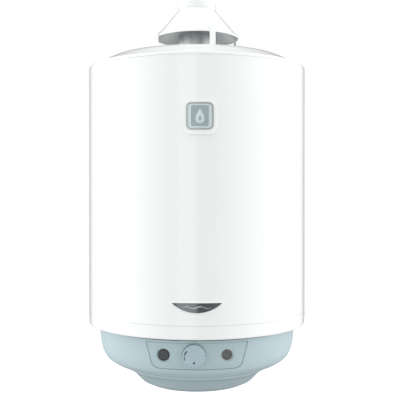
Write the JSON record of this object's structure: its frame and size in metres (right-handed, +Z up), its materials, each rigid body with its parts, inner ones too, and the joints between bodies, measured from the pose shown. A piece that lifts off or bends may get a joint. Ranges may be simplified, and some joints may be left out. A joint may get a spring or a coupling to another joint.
{
  "type": "tank water heater",
  "caption": "Wall-hung gas storage water heater: white cylindrical tank casing, draught hood on top, grey lower control cover with dial knob and igniter button.",
  "frame": {"origin": "centre of the wall bracket's two slots, on the wall plane", "axes": "+Z up along the tank, +Y towards the wall, +X to the right seen from the front"},
  "size_m": [0.495, 0.5152, 0.8705],
  "materials": {
    "white_enamel": "gloss white stove enamel",
    "grey_plastic": "moulded blue-grey ABS, fine satin texture",
    "panel_plastic": "moulded blue-grey ABS, slightly darker",
    "knob_plastic": "satin light grey",
    "black_plastic": "matt black",
    "white_plastic": "gloss white",
    "badge_grey": "satin silver grey",
    "badge_light": "pale blue-grey, glossy",
    "plate_dark": "dark grey gloss",
    "galvanised": "galvanised sheet, spangled",
    "aluminised": "aluminised sheet, satin",
    "steel": "zinc-plated, bright",
    "tank_steel": "glass-lined steel, dark blue",
    "cast_alloy": "die-cast, as cast",
    "brass": "turned brass",
    "copper": "drawn copper tube",
    "ceramic": "white ceramic",
    "foam": "rigid polyurethane foam, cream",
    "magnesium": "cast magnesium",
    "rubber_black": "black rubber",
    "blue_plastic": "blue",
    "red_plastic": "red",
    "lead_sleeve": "silicone sleeve, pale grey",
    "sight_mica": "smoked heat-proof glass"
  },
  "bodies": {
    "root": {"outer_jacket": "white_enamel", "top_cover": "white_enamel", "bottom_ring": "white_enamel", "control_cover": "grey_plastic", "front_panel": "panel_plastic", "cover_tabs": "galvanised", "cover_screws": "steel", "draught_hood": "white_enamel", "hood_legs": "white_enamel", "hood_rivets": "white_enamel", "leg_screws": "steel", "flue_outlet": "aluminised", "flue_seal": "rubber_black", "flue_tube": "tank_steel", "flue_baffle": "aluminised", "tank_shell": "tank_steel", "tank_top_dome": "tank_steel", "tank_bottom_dome": "tank_steel", "side_insulation": "foam", "top_insulation": "foam", "anode_rod": "magnesium", "thermostat_sheath": "brass", "thermostat_capillary": "copper", "chamber_floor": "galvanised", "burner_tray": "galvanised", "tray_screws": "steel", "main_burner": "steel", "burner_brackets": "galvanised", "gas_valve": "cast_alloy", "main_gas_pipe": "aluminised", "gas_injector": "brass", "gas_inlet_pipe": "aluminised", "gas_nipple": "brass", "cold_inlet_pipe": "steel", "hot_outlet_pipe": "steel", "cold_marker_ring": "blue_plastic", "hot_marker_ring": "red_plastic", "pilot_bracket": "galvanised", "pilot_burner": "brass", "pilot_gas_tube": "aluminised", "thermocouple": "copper", "ignition_electrode": "ceramic", "ignition_lead": "lead_sleeve", "igniter_body": "black_plastic", "igniter_spring": "steel", "igniter_nut": "steel", "sight_bezel": "badge_grey", "sight_glass": "sight_mica", "badge_bezel": "white_plastic", "badge_frame": "badge_grey", "badge_plate": "badge_light", "name_plate": "plate_dark", "wall_bracket": "galvanised", "bracket_bolts": "steel", "wall_spacers": "rubber_black"},
    "valve_spindle": {"valve_spindle": "brass", "knob_spring": "steel"},
    "control_knob": {"control_knob": "knob_plastic"},
    "igniter_button": {"igniter_button": "black_plastic"}
  },
  "joints": [
    {"name": "dial_turn", "type": "hinge", "parent": "root", "child": "valve_spindle", "pos_m": [-0.006, -0.458, -0.5248], "axis": [0, -1, 0], "range_deg": [0, 270]},
    {"name": "knob_push", "type": "slide", "parent": "valve_spindle", "child": "control_knob", "axis": [0, 1, 0], "range_m": [0, 0.005], "stiffness_N_per_m": 900, "springref_m": -0.001, "deforming": ["knob_spring"]},
    {"name": "igniter_push", "type": "slide", "parent": "root", "child": "igniter_button", "axis": [0, 1, 0], "range_m": [0, 0.005], "stiffness_N_per_m": 1500, "springref_m": -0.001, "deforming": ["igniter_spring"]}
  ]
}
